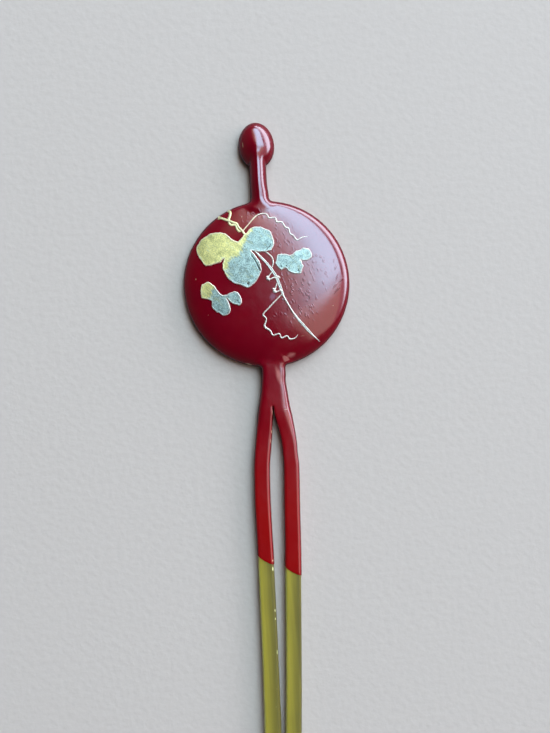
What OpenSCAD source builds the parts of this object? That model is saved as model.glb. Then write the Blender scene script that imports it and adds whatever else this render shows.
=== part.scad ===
// Kanzashi: a flat lacquered hairpin with a round head, an ear-pick above it and two legs below it.
// Millimetres. X runs to the right, Y runs up to the ear-pick and Z runs up off the table.
// The origin is the middle of the head's flat back, which lies on the table.

/* [Head] */
// Diameter of the round head
head_d = 30; // [28:0.5:32]
// Thickness of the head in its middle
head_t = 3.8; // [3.2:0.1:4.6]
// Height of the pin's widest level above the table
rim_z = 1; // [0.8:0.05:1.1]

/* [Ear-pick] */
// Width of the ear-pick
ear_w = 6.5; // [5.6:0.1:7]
// Length of the ear-pick
ear_l = 8.3; // [7.5:0.1:9]
// Thickness of the ear-pick
ear_t = 3.4; // [3.2:0.1:4]
// Diameter of the hollow in its back
scoop_d = 4.4; // [3:0.1:4.8]
// Depth of the hollow in its back
scoop_depth = 1.1; // [0.6:0.1:1.4]

/* [Stem and yoke] */
// Length of the stem from the head's edge to the ear-pick
stem_l = 6; // [5:0.1:8]
// Thickness of the stem
stem_t = 3.1; // [3:0.1:3.2]
// Thickness of the stem where it meets the head
stem_foot_t = 2.8; // [2.7:0.1:2.9]
// Thickness of the yoke that joins the legs
yoke_t = 2.5; // [2.2:0.1:2.8]
// Radius where the stem runs into the head
stem_fillet = 0.9; // [0.6:0.1:1.2]
// Radius where the yoke runs into the head
yoke_fillet = 0.6; // [0.4:0.1:1]

/* [Legs] */
// Length of the whole pin
pin_l = 155; // [145:1:165]
// Thickness of a leg with its lacquer
leg_t = 2.2; // [2:0.05:2.4]
// Thickness of the lacquer
coat_t = 0.1; // [0.06:0.01:0.15]
// From the middle of the head down to the lacquer's edge on the left leg
dip_left = 49.5; // [46:0.5:54]
// From the middle of the head down to the lacquer's edge on the right leg
dip_right = 51.8; // [46:0.5:56]
// Fall of the lacquer's edge to the right, in millimetres for each millimetre
dip_slant = 0.63; // [0:0.05:0.8]

/* [Raised ornament] */
// Height of the leaves, the stem and the tendrils above the lacquer
relief_t = 0.15; // [0.1:0.01:0.25]
// Space under them
relief_gap = 0.06; // [0.05:0.01:0.1]

/* [Hidden] */

lacquer_red = [0.47, 0.02, 0.06];
horn_yellow = [0.62, 0.58, 0.24];
gold = [0.84, 0.78, 0.42];
silver = [0.68, 0.78, 0.76];

head_r = head_d / 2;
scoop_r = (pow(scoop_d / 2, 2) + pow(scoop_depth, 2)) / (2 * scoop_depth);
sink = 0.05;            // how far the rings dip under the back before it is cut flat
joint_gap = 0.05;       // between the lacquered pin and a bare leg
columns = 18;           // faces across the pin, half of them across each leg
head_step = 4.7;        // degrees between rings round the head
blend_power = 8;        // how sharply the stem, head and ear-pick run into each other
neck_fade = 3.2;        // past the neck's foot, how long it still shows under the head
stem_swell = [-1, 4.5]; // past the head's edge, where the stem starts to thicken and where it is full
neck_in_ear = [-1.5, 1.5]; // past the ear-pick's widest level, where the neck starts to fade and where it is gone
crotch_pull = 2;        // below the head's edge, where the pin's middle starts to move to the crotch

// How full each piece is: how flat its middle is and how full its edge is, for dome()
head_face = [2.6, 2.2];
head_back = [14, 2.5];
stem_face = [1.5, 2.5];   // a ridge along its middle
yoke_face = [7, 2.2];
neck_back = [5, 2.5];
ear_face = [1.5, 1.8];
ear_back = [5, 2.5];
leg_face = [9, 2.2];
leg_back = [6, 2.5];
slit_face = [16, 3];      // a leg's inner half where it leaves the yoke

ear_x = -0.04;
ear_low = 0.47 * ear_l; // the ear-pick is widest a little below its middle
ear_high = ear_l - ear_low;
ear_y = head_r + stem_l + ear_low;
tip_y = ear_y + ear_high - pin_l;
tip_l = 3;              // the rounded end of each leg

// Stem, from the head's edge up: distance, reach to the left, reach to the right
stem_rows = [
    [0.0, 1.76, 1.56],
    [1.2, 1.76, 1.56],
    [3.3, 1.69, 1.42],
    [6.5, 1.60, 1.48],
    [9.5, 1.55, 1.45]];

// Yoke, from the head's edge down: distance, reach to the left, reach to the right
yoke_rows = [
    [0.0, 2.10, 2.30],
    [1.4, 2.12, 2.30],
    [2.8, 2.30, 2.21],
    [5.0, 2.64, 2.41],
    [7.2, 3.16, 2.61]];
crotch = 7.2;
crotch_x = -0.45;
merge_l = 6;            // below the crotch, how long a leg keeps some of the yoke's form

// Bare legs, from the head's edge down: distance, middle of left, middle of right, width of left, width of right
leg_rows = [
    [7.2, -1.80, 1.08, 2.51, 2.86],
    [8.3, -1.94, 1.21, 2.64, 2.98],
    [9.3, -2.08, 1.37, 2.65, 2.98],
    [11.5, -2.35, 1.71, 2.78, 2.78],
    [13.7, -2.67, 1.97, 2.81, 2.65],
    [15.9, -3.01, 2.02, 2.81, 2.60],
    [18.0, -3.26, 2.07, 2.75, 2.70],
    [24.5, -3.59, 1.70, 2.76, 2.75],
    [33.2, -3.72, 1.26, 2.76, 2.76],
    [38.6, -3.89, 0.87, 2.91, 2.85],
    [49.5, -4.17, 0.16, 2.98, 2.90],
    [60.3, -4.56, -0.60, 3.05, 2.95],
    [64.7, -4.73, -0.96, 3.12, 2.98],
    [73.0, -5.20, -1.50, 3.10, 3.00],
    [83.0, -5.85, -2.17, 3.00, 2.95],
    [95.0, -6.62, -2.95, 2.90, 2.85],
    [111.0, -7.65, -4.00, 2.60, 2.55]];
left = 1;
right = 2;

// Leaves as seen on a head of this radius, counter-clockwise from the left: x, y, 1 if round or 0 if a sharp corner
ornament_r = 15;
leaf_large_rows = [
    [-12.2, 7.0, 1], [-11.8, 5.6, 1], [-10.7, 4.0, 0], [-8.9, 4.3, 1], [-7.3, 5.2, 0], [-7.7, 3.5, 1],
    [-6.8, 1.4, 1], [-5.3, 0.4, 1], [-3.4, -0.4, 1], [-1.9, 0.5, 1], [-0.7, 2.6, 0], [-1.2, 4.8, 1],
    [-2.3, 6.2, 0], [-1.1, 5.9, 1], [0.7, 5.8, 1], [1.9, 7.0, 1], [1.5, 9.1, 1], [-0.4, 10.4, 1],
    [-2.3, 10.2, 1], [-4.5, 8.0, 0], [-6.2, 9.1, 1], [-8.5, 10.0, 1], [-11.1, 8.9, 1]];
leaf_large_heart = [-4.45, 7.5];
leaf_left_rows = [
    [-12.1, -0.3, 1], [-11.8, -1.7, 1], [-10.2, -2.3, 1], [-10.0, -3.7, 1], [-8.9, -4.6, 1], [-8.4, -5.2, 0],
    [-7.3, -4.9, 1], [-6.8, -3.5, 1], [-7.1, -2.4, 0], [-6.0, -3.0, 1], [-5.1, -3.3, 1], [-4.7, -2.4, 1],
    [-5.7, -0.9, 1], [-7.7, -1.4, 1], [-9.0, -0.3, 1], [-10.5, 1.2, 1], [-11.6, 0.8, 1]];
leaf_left_heart = [-7.85, -1.8];
leaf_right_rows = [
    [1.9, 4.0, 1], [2.3, 2.8, 1], [2.9, 2.3, 0], [3.7, 2.6, 1], [4.3, 2.0, 1], [5.2, 1.5, 1], [6.2, 1.4, 0],
    [6.9, 2.8, 1], [6.6, 3.9, 0], [7.5, 3.7, 1], [8.3, 4.1, 1], [8.6, 4.9, 1], [7.2, 6.1, 1], [6.1, 5.7, 1],
    [4.6, 5.0, 1], [3.6, 5.3, 1], [2.6, 5.2, 1]];
leaf_right_heart = [4.9, 4.6];

// Stems and tendrils as seen on a head of that radius: x, y, half the width there
vine_rows = [
    [-1.5, 5.7, 0.08], [-0.7, 5.0, 0.16], [0.3, 3.8, 0.18], [1.1, 2.6, 0.22], [1.8, 1.3, 0.24],
    [2.2, 0.1, 0.25], [2.6, -1.2, 0.24], [2.9, -2.3, 0.18], [3.7, -4.0, 0.14], [4.7, -5.9, 0.18],
    [6.0, -7.7, 0.22], [7.4, -9.5, 0.20], [8.9, -11.1, 0.05]];
sprig_high_rows = [
    [1.1, 2.1, 0.12], [0.5, 1.4, 0.16], [0.3, 1.0, 0.20], [0.8, 0.9, 0.15], [1.6, 1.1, 0.15], [2.6, 0.9, 0.06]];
sprig_low_rows = [
    [1.9, 0.0, 0.12], [1.6, -0.7, 0.15], [1.3, -1.3, 0.20], [1.7, -1.5, 0.15], [2.7, -1.2, 0.10]];
vine_loop_rows = [
    [-0.1, 5.6, 0.08], [0.7, 5.5, 0.12], [1.3, 4.8, 0.13], [1.5, 3.9, 0.13], [1.3, 3.2, 0.08]];
tendril_upper_rows = [
    [-3.2, 10.3, 0.10], [-2.3, 11.2, 0.12], [-0.9, 12.5, 0.12], [0.4, 12.8, 0.12], [1.0, 12.5, 0.12],
    [1.4, 11.9, 0.12], [2.4, 11.9, 0.12], [2.7, 11.1, 0.12], [3.6, 11.0, 0.12], [4.1, 10.1, 0.12],
    [4.7, 9.8, 0.12], [4.9, 8.9, 0.12], [5.5, 8.4, 0.12], [6.1, 7.6, 0.12], [7.1, 8.0, 0.10],
    [8.2, 8.1, 0.05]];
tendril_lower_rows = [
    [2.6, -2.2, 0.08], [1.4, -3.1, 0.14], [0.1, -4.3, 0.14], [-1.0, -5.4, 0.15], [-0.5, -6.3, 0.12],
    [-0.9, -7.6, 0.16], [0.0, -8.4, 0.15], [0.5, -9.3, 0.13], [1.6, -9.1, 0.13], [2.0, -9.9, 0.13],
    [3.0, -9.6, 0.13], [3.5, -10.2, 0.13], [4.4, -10.1, 0.11], [5.0, -9.5, 0.04]];
strand_low_rows = [
    [-7.7, 12.5, 0.25], [-6.9, 12.2, 0.20], [-5.9, 11.9, 0.18], [-5.1, 11.5, 0.17], [-4.5, 11.2, 0.17],
    [-4.2, 10.5, 0.17], [-3.8, 9.8, 0.17], [-3.6, 9.5, 0.08]];
strand_high_rows = [
    [-5.8, 13.5, 0.22], [-5.6, 13.0, 0.20], [-5.8, 12.4, 0.18], [-6.0, 11.7, 0.17], [-5.5, 11.1, 0.17],
    [-4.9, 11.1, 0.17], [-4.7, 10.4, 0.17], [-4.2, 9.8, 0.17], [-3.6, 10.1, 0.08]];

// 1 in the middle of a piece, 0 at its edge
function dome(part, form) = part >= 1 ? 0 : pow(1 - pow(part, form[0]), 1 / form[1]);

function ramp(x, low, high) = let(u = min(max((x - low) / (high - low), 0), 1)) u * u * (3 - 2 * u);

// One column of a table at a distance, on a smooth curve through its rows
function along(rows, column, at) =
    let(last = len(rows) - 1,
        x = min(max(at, rows[0][0]), rows[last][0]),
        i = max([for (j = [0:last - 1]) if (rows[j][0] <= x) j]),
        a = rows[i],
        b = rows[i + 1],
        before = rows[max(i - 1, 0)],
        after = rows[min(i + 2, last)],
        span = b[0] - a[0],
        slope_a = (b[column] - before[column]) / (b[0] - before[0]) * span,
        slope_b = (after[column] - a[column]) / (after[0] - a[0]) * span)
    hermite(a[column], slope_a, b[column], slope_b, (x - a[0]) / span);

function hermite(a, slope_a, b, slope_b, u) =
    (2 * pow(u, 3) - 3 * pow(u, 2) + 1) * a + (pow(u, 3) - 2 * pow(u, 2) + u) * slope_a
    + (3 * pow(u, 2) - 2 * pow(u, 3)) * b + (pow(u, 3) - pow(u, 2)) * slope_b;

// The stem above the head or the yoke below it: how far it reaches to one side, with the fillet into the head
function neck_rows(y) = y > 0 ? stem_rows : yoke_rows;
function neck_fillet(y) = y > 0 ? stem_fillet : yoke_fillet;
function fillet_x(y, side) = neck_rows(y)[0][side] + neck_fillet(y);
function fillet_y(y, side) = sqrt(pow(head_r + neck_fillet(y), 2) - pow(fillet_x(y, side), 2));
function on_head(y) = head_r / (head_r + neck_fillet(y));
function foot_half(y) = (neck_rows(y)[0][left] + neck_rows(y)[0][right]) / 2;
function foot_middle(y) = (neck_rows(y)[0][right] - neck_rows(y)[0][left]) / 2;

function neck_reach(y, side) =
    let(far = abs(y),
        arc_y = fillet_y(y, side))
    far >= arc_y ? along(neck_rows(y), side, far - head_r)
    : fillet_x(y, side) - sqrt(max(pow(neck_fillet(y), 2) - pow(arc_y - far, 2), 0));

// Where a point lies in the ear-pick: 0 at its middle, 1 at its edge
function in_ear(x, y) = norm([(x - ear_x) / (ear_w / 2), (y - ear_y) / (y > ear_y ? ear_high : ear_low)]);

// Outline of the whole pin above the crotch: its reach to one side
function reach(y, side) =
    let(ear_half = ear_w / 2 * sqrt(max(1 - pow(in_ear(ear_x, y), 2), 0)),
        ear_reach = ear_half + (side == left ? -ear_x : ear_x))
    y > ear_y ? ear_reach
    : ear_half > 0 ? max(ear_reach, neck_reach(y, side))
    : abs(y) > fillet_y(y, side) * on_head(y) ? neck_reach(y, side)
    : sqrt(pow(head_r, 2) - pow(y, 2));

// The neck fades out under the head and under the ear-pick
function neck_share(x, y) =
    (abs(y) >= fillet_y(y, left) ? 1
     : 1 - ramp(norm([x - foot_middle(y), max(head_r - abs(y), 0)]), foot_half(y), foot_half(y) + neck_fade))
    * (1 - ramp(y, ear_y + neck_in_ear[0], ear_y + neck_in_ear[1]));

// Where a point lies in the neck: 0 at its middle, 1 at its edge, at its fillet and at the head's edge beside it
function in_neck(x, y) =
    let(side = x > foot_middle(y) ? right : left,
        at = [side == left ? -x : x, abs(y)],
        arc = [fillet_x(y, side), fillet_y(y, side)],
        l = neck_reach(y, left),
        r = neck_reach(y, right),
        beside = at[0] * arc[1] > at[1] * arc[0],
        inside = beside ? head_r - norm(at) : norm(at - arc) - neck_fillet(y))
    at[1] >= arc[1] ? abs(x - (r - l) / 2) / ((r + l) / 2) : max(1 - max(inside, 0) / foot_half(y), 0);

function blend(head, neck, ear) =
    pow(pow(head, blend_power) + pow(neck, blend_power) + pow(ear, blend_power), 1 / blend_power);

// Height of the pin's face above its widest level, and depth of its back below it
function rise(x, y) =
    let(swell = (stem_t - stem_foot_t) * ramp(y, head_r + stem_swell[0], head_r + stem_swell[1]),
        neck_t = y > 0 ? stem_foot_t + swell : yoke_t,
        neck_face = y > 0 ? stem_face : yoke_face)
    blend((head_t - rim_z) * dome(norm([x, y]) / head_r, head_face),
          (neck_t - rim_z) * neck_share(x, y) * dome(in_neck(x, y), neck_face),
          (ear_t - rim_z) * dome(in_ear(x, y), ear_face));

function fall(x, y) =
    (rim_z + sink) * min(1, blend(dome(norm([x, y]) / head_r, head_back),
                                  neck_share(x, y) * dome(in_neck(x, y), neck_back),
                                  dome(in_ear(x, y), ear_back)));

// One ring of points round the pin: left edge, over the face to the right edge, and back under it
function pin_ring(y) =
    let(l = -reach(y, left),
        r = reach(y, right),
        middle = (l + r) / 2,
        pull = (crotch_x - middle) * ramp(-y, head_r + crotch_pull, head_r + crotch))
    [for (k = [0:2 * columns - 1])
        let(a = 180 * (k <= columns ? k : 2 * columns - k) / columns - 90,
            x = middle + (r - l) / 2 * sin(a) + pull * cos(a))
        [x, y, k <= columns ? rim_z + rise(x, y) : rim_z - fall(x, y)]];

// Edges of a leg at a distance down from the head
function leg_side(down, side, way, coat) =
    along(leg_rows, side, down) + way * (along(leg_rows, side + 2, down) / 2 + coat);

// Height of a leg's face above its widest level: near the crotch it is still a part of the yoke, slit along its
// inner edge. Across is -1 at the leg's left edge and 1 at its right one.
function leg_rise(x, across, down, side, coat) =
    let(yoke_left = leg_side(down, left, -1, coat),
        yoke_right = leg_side(down, right, 1, coat),
        in_yoke = abs(2 * x - yoke_left - yoke_right) / (yoke_right - yoke_left),
        inward = max(side == left ? across : -across, 0),
        merged = 1 - ramp(down, crotch, crotch + merge_l),
        leg = (leg_t - coat_t - rim_z + coat) * dome(abs(across), leg_face),
        yoke = (yoke_t - rim_z) * dome(in_yoke, yoke_face) * dome(inward, slit_face))
    leg + (yoke - leg) * merged;

// One ring round a leg, turned by slant and grown by the thickness of the lacquer
function leg_ring(down, side, slant, coat, size) =
    let(middle = along(leg_rows, side, down),
        half = along(leg_rows, side + 2, down) / 2 + coat,
        deep = rim_z - coat_t + (coat > 0 ? coat + sink : 0))
    [for (k = [0:columns - 1])
        let(face = k <= columns / 2,
            across = sin(360 * (face ? k : columns - k) / columns - 90),
            x = half * size * across)
        [middle + x, -head_r - down - slant * x,
         face ? rim_z + size * leg_rise(middle + x, across, down, side, coat)
              : rim_z - deep * size * dome(abs(across), leg_back)]];

// Faces between two loops of point numbers, where a number given twice in a row closes a face to a triangle
function skin(a, b) = [
    for (j = [0:len(a) - 1])
        let(next = (j + 1) % len(a))
        each [
            if (a[j] != a[next]) [a[j], a[next], b[next]],
            if (b[j] != b[next]) [a[j], b[next], b[j]]]];

function skins(loops) = [for (i = [0:len(loops) - 2]) each skin(loops[i], loops[i + 1])];
function count_from(start, n) = [for (k = [0:n - 1]) start + k];
function backwards(list) = [for (i = [len(list) - 1:-1:0]) list[i]];

// Rings from the top of the ear-pick down to the crotch
ear_ring_y = [for (a = [8, 20, 33, 47, 61, 75, 89, 103, 117, 130, 142, 152])
    ear_y + (a < 90 ? ear_high : ear_low) * cos(a)];
stem_ring_y = [for (u = [-0.25, 0.3, 1.5, 2.8, 4.1]) head_r + stem_l - u];
fillet_angles = [0, 20, 40, 60, 75];
head_turn_high = asin(fillet_x(1, left) / (head_r + stem_fillet));
head_turn_low = 180 - asin(fillet_x(-1, left) / (head_r + yoke_fillet));
pin_ring_y = concat(
    ear_ring_y,
    stem_ring_y,
    [for (a = fillet_angles) fillet_y(1, left) - stem_fillet * sin(a)],
    [for (a = [head_turn_high + 1:head_step:head_turn_low]) head_r * cos(a)],
    [for (a = backwards(fillet_angles)) yoke_fillet * sin(a) - fillet_y(-1, left)],
    [for (u = [1.6, 2.7, 3.8, 4.9, 6.1, crotch]) -head_r - u]);

// Rings down each leg: closer together near the crotch, and turned to the lacquer's slant only near its edge
upper_steps = 13;
upper_crowding = 1.35;
upper_turn = 4;
function upper_leg_ring(side, i) =
    let(u = i / upper_steps,
        end = (side == left ? dip_left : dip_right) - head_r)
    leg_ring(crotch + (end - crotch) * pow(u, upper_crowding), side, dip_slant * pow(u, upper_turn), coat_t, 1);

lower_steps = 10;
lower_turn = 8;
tip_steps = 4;
tip_angle = 84; // the last ring is small but not a point
function lower_leg_rings(side) =
    let(start = (side == left ? dip_left : dip_right) - head_r + joint_gap,
        end = -tip_y - head_r)
    concat(
        [for (i = [0:lower_steps - 1])
            let(u = i / lower_steps)
            leg_ring(start + (end - tip_l - start) * u, side, dip_slant * pow(1 - u, lower_turn), 0, 1)],
        [for (i = [0:tip_steps])
            let(a = tip_angle * i / tip_steps)
            leg_ring(end - tip_l + tip_l * sin(a), side, 0, 0, cos(a))]);

module pin_solid() {
    rings = [for (y = pin_ring_y) pin_ring(y)];
    left_rings = [for (i = [1:upper_steps]) upper_leg_ring(left, i)];
    right_rings = [for (i = [1:upper_steps]) upper_leg_ring(right, i)];
    full = 2 * columns;
    half = columns / 2;
    left_start = len(rings) * full;
    right_start = left_start + upper_steps * columns;
    loops = [for (i = [0:len(rings) - 1]) count_from(i * full, full)];
    left_loops = [for (i = [0:upper_steps - 1]) count_from(left_start + i * columns, columns)];
    right_loops = [for (i = [0:upper_steps - 1]) count_from(right_start + i * columns, columns)];
    last = (len(rings) - 1) * full;
    // The last ring over both legs is split down its middle, and each half runs on into a leg
    left_split = concat([for (k = [0:half]) last + k], [for (k = [columns + half:full - 1]) last + k]);
    right_split = [for (k = [half:columns + half]) last + k];
    left_top = concat(count_from(left_start, half + 1), count_from(left_start + half, half));
    right_top = concat(count_from(right_start, columns), [right_start]);
    polyhedron(
        points = concat([for (r = rings) each r], [for (r = left_rings) each r], [for (r = right_rings) each r]),
        faces = concat(
            [backwards(loops[0])],
            skins(loops),
            skin(left_split, left_top),
            skin(right_split, right_top),
            skins(left_loops),
            skins(right_loops),
            [left_loops[upper_steps - 1], right_loops[upper_steps - 1]]));
}

module ear_pick_hollow() {
    translate([ear_x, ear_y, scoop_depth - scoop_r]) sphere(r = scoop_r, $fn = 48);
}

// Ear-pick, stem, head, yoke and the lacquered stretch of both legs, carved as one piece with a flat back
module lacquered_pin() {
    color(lacquer_red)
    difference() {
        pin_solid();
        translate([-head_d, -2 * head_d, -2]) cube([2 * head_d, 4 * head_d, 2]);
        ear_pick_hollow();
    }
}

// The stretch of a leg that the lacquer doesn't cover
module bare_leg(side) {
    rings = lower_leg_rings(side);
    loops = [for (i = [0:len(rings) - 1]) count_from(i * columns, columns)];
    polyhedron(
        points = [for (r = rings) each r],
        faces = concat([backwards(loops[0])], skins(loops), [loops[len(loops) - 1]]));
}

module leg_left() {
    color(horn_yellow) bare_leg(left);
}

module leg_right() {
    color(horn_yellow) bare_leg(right);
}

// Where a point that is seen from the eye at the pin's widest level lies on its domed face
eye = [0.44, -14.96];
eye_high = 155;         // above the widest level
function laid(seen) = eye + (seen - eye) * (1 - rise(seen[0], seen[1]) / eye_high);

// A point of the ornament, this high above its underside, which follows the lacquer's face
function on_face(p, height) =
    let(q = laid([p[0], p[1]] * head_r / ornament_r))
    [q[0], q[1], rim_z + rise(q[0], q[1]) + relief_gap + height];

function row_at(rows, i, closed) = rows[closed ? (i + len(rows)) % len(rows) : min(max(i, 0), len(rows) - 1)];

// A smooth curve through the rows; the third column of a closed one tells its corners
function curve(rows, steps, closed) = [
    for (i = [0:len(rows) - (closed ? 1 : 2)], s = [0:steps - 1])
        let(a = row_at(rows, i, closed),
            b = row_at(rows, i + 1, closed),
            slope_a = (b - row_at(rows, i - 1, closed)) / 2 * (closed ? a[2] : 1),
            slope_b = (row_at(rows, i + 2, closed) - a) / 2 * (closed ? b[2] : 1))
        hermite(a, slope_a, b, slope_b, s / steps)];

leaf_steps = 3;
leaf_bevel = 0.08;

// A leaf: a thin plate over the dome, spread from its heart to its outline
module leaf(rows, heart, shares) {
    outline = [for (p = curve(rows, leaf_steps, true)) [p[0], p[1]]];
    n = len(outline);
    face_edge = [for (p = outline) let(away = p - heart) heart + away * (1 - leaf_bevel / norm(away))];
    function spread(share, height) = [for (p = outline) on_face(heart + (p - heart) * share, height)];
    face_rings = [for (s = shares) spread(s, relief_t)];
    back_rings = [for (s = backwards(shares)) spread(s, 0)];
    rings = concat(face_rings, [[for (p = face_edge) on_face(p, relief_t)], spread(1, 0)], back_rings);
    loops = [for (i = [0:len(rings) - 1]) count_from(i * n, n)];
    top = len(rings) * n;
    polyhedron(
        points = concat([for (r = rings) each r], [on_face(heart, relief_t), on_face(heart, 0)]),
        faces = concat(
            skin([for (p = outline) top], loops[0]),
            skins(loops),
            skin(loops[len(loops) - 1], [for (p = outline) top + 1])));
}

// A tendril: a low strip with sloping sides along its rows
tendril_section = [[1, 0], [0.6, 1], [-0.6, 1], [-1, 0]];

module tendril(rows, steps) {
    route = concat(curve(rows, steps, false), [rows[len(rows) - 1]]);
    last = len(route) - 1;
    n = len(tendril_section);
    rings = [for (i = [0:last])
        let(d = route[min(i + 1, last)] - route[max(i - 1, 0)],
            across = [d[1], -d[0]] / norm([d[0], d[1]]))
        [for (s = tendril_section)
            on_face([route[i][0], route[i][1]] + across * route[i][2] * s[0], relief_t * s[1])]];
    loops = [for (i = [0:last]) count_from(i * n, n)];
    polyhedron(
        points = [for (r = rings) each r],
        faces = concat([backwards(loops[0])], skins(loops), [loops[last]]));
}

module leaf_large() {
    color(gold) leaf(leaf_large_rows, leaf_large_heart, [0.3, 0.5, 0.67, 0.82]);
}

module leaf_left() {
    color(gold) leaf(leaf_left_rows, leaf_left_heart, [0.45, 0.75]);
}

module leaf_right() {
    color(silver) leaf(leaf_right_rows, leaf_right_heart, [0.45, 0.75]);
}

// Main stem of the plant with its two side sprigs
module vine() {
    color(silver) {
        tendril(vine_rows, 3);
        tendril(sprig_high_rows, 3);
        tendril(sprig_low_rows, 3);
    }
}

module vine_loop() {
    color(silver) tendril(vine_loop_rows, 4);
}

module tendril_upper() {
    color(silver) tendril(tendril_upper_rows, 4);
}

module tendril_lower() {
    color(silver) tendril(tendril_lower_rows, 4);
}

module tendril_twisted() {
    color(gold) {
        tendril(strand_low_rows, 3);
        tendril(strand_high_rows, 3);
    }
}

lacquered_pin();
leg_left();
leg_right();
leaf_large();
leaf_left();
leaf_right();
vine();
vine_loop();
tendril_upper();
tendril_lower();
tendril_twisted();
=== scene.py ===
"""Kanzashi: a flat lacquered hairpin with a round head, an ear-pick above it and two legs below it.

The frame is in metres. Sizes here are in millimetres and are scaled once, when a mesh is made.
"""

import math

import bpy
import numpy as np
from mathutils import Matrix, Vector, noise
from mathutils.geometry import delaunay_2d_cdt


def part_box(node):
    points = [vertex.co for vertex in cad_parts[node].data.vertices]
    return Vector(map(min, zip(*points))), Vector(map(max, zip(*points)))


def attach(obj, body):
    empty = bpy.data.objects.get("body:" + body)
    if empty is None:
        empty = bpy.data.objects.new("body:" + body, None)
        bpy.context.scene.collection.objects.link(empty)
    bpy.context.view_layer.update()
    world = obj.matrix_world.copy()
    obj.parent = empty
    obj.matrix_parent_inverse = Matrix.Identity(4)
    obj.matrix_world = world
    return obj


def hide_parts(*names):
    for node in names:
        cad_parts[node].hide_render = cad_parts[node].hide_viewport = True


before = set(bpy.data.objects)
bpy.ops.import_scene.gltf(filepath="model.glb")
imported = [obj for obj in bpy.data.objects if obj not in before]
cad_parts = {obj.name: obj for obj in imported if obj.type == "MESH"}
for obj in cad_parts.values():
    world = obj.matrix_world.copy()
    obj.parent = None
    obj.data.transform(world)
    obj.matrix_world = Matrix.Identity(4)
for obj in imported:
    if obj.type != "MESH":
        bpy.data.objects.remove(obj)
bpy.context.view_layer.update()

# Lacquered pin
# One flat piece of horn, carved with an ear-pick, a stem, a round head, a yoke and the tops of two legs.
# It was dipped and brushed with red lacquer, whose edge slants across each leg and is a little ragged.

MM = 0.001
LEFT, RIGHT = 1, 2

pin_high = np.array(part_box("lacquered_pin")[1]) / MM
head_r = pin_high[0]
head_t = pin_high[2]
rim_z = 1.0
ear_w, ear_l, ear_t, ear_x = 6.5, 8.3, 3.4, -0.04
ear_low = 0.47 * ear_l
ear_high = ear_l - ear_low
ear_y = pin_high[1] - ear_high
scoop_d, scoop_depth = 4.4, 1.1
stem_t, stem_foot_t, yoke_t = 3.1, 2.8, 2.5
stem_fillet, yoke_fillet = 0.9, 0.6
leg_t, coat_t = 2.2, 0.1
dip_left, dip_right = 49.5, 51.8
dip_slant, dip_sag, dip_ragged = 0.63, 0.26, 0.05
lip_l, sleeve_l = 0.07, 1.2
sleeve_gap = 0.1  # how far the sleeve stands off the horn, as a share of the coat
crotch, crotch_x, groove_l, merge_l = 7.2, -0.45, 0.2, 6
blend_power = 8
neck_fade = 3.2
stem_swell_l, ear_run_l = 4.5, 1.5
back_cut = 1.05  # how much fuller the back would be if it weren't cut flat
ragged_per_mm = 2.3

# How soon the slant, the sag and the raggedness of the lacquer's edge die away up the leg
slant_fade, sag_fade, ragged_fade = 4, 12, 40

# The lacquer's lip, round from its face: share of the lip's length, share of the coat's thickness
lip_rows = [(0.55, 0.93), (0.9, 0.65), (1.0, 0.3), (0.75, sleeve_gap)]

# Steps between rings: round the ear-pick, the fillets and the head in degrees, along stem and yoke
ear_step, fillet_step, head_step = 2.5, 5, 1.3
stem_step, yoke_step = 0.22, 0.15
fillet_turn, head_gap = 76, 0.8
red_rings = 76
crowding = 1.35  # how much closer the rings lie near the crotch

# How flat each piece is in its middle and how full at its edge, for dome()
head_face, head_back = (2.6, 2.2), (14, 2.5)
stem_face, yoke_face, neck_back = (1.5, 2.5), (7, 2.2), (5, 2.5)
ear_face, ear_back = (1.5, 1.8), (5, 2.5)
leg_face, leg_back, slit_face = (9, 2.2), (6, 2.5), (16, 3)

# Stem and yoke, from the head's edge: distance, reach to the left, reach to the right
stem_rows = [(0.0, 1.76, 1.56), (1.2, 1.76, 1.56), (3.3, 1.69, 1.42), (6.5, 1.60, 1.48), (9.5, 1.55, 1.45)]
yoke_rows = [(0.0, 2.10, 2.30), (1.4, 2.12, 2.30), (2.8, 2.30, 2.21), (5.0, 2.64, 2.41), (7.2, 3.16, 2.61)]

# Bare legs, from the head's edge: distance, middle of left, middle of right, width of left, width of right
leg_rows = [
    (7.2, -1.80, 1.08, 2.51, 2.86), (8.3, -1.94, 1.21, 2.64, 2.98), (9.3, -2.08, 1.37, 2.65, 2.98),
    (11.5, -2.35, 1.71, 2.78, 2.78), (13.7, -2.67, 1.97, 2.81, 2.65), (15.9, -3.01, 2.02, 2.81, 2.60),
    (18.0, -3.26, 2.07, 2.75, 2.70), (24.5, -3.59, 1.70, 2.76, 2.75), (33.2, -3.72, 1.26, 2.76, 2.76),
    (38.6, -3.89, 0.87, 2.91, 2.85), (49.5, -4.17, 0.16, 2.98, 2.90), (60.3, -4.56, -0.60, 3.05, 2.95),
    (64.7, -4.73, -0.96, 3.12, 2.98), (73.0, -5.20, -1.50, 3.10, 3.00), (83.0, -5.85, -2.17, 3.00, 2.95),
    (95.0, -6.62, -2.95, 2.90, 2.85), (111.0, -7.65, -4.00, 2.60, 2.55),
]


def ramp(x, low, high):
    u = np.clip((x - low) / (high - low), 0, 1)
    return u * u * (3 - 2 * u)


def dome(part, form):
    flat, full = form
    return np.maximum(1 - np.clip(part, 0, 1) ** flat, 0) ** (1 / full)


def hermite(a, slope_a, b, slope_b, u):
    return (
        (2 * u**3 - 3 * u**2 + 1) * a + (u**3 - 2 * u**2 + u) * slope_a
        + (3 * u**2 - 2 * u**3) * b + (u**3 - u**2) * slope_b
    )


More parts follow.
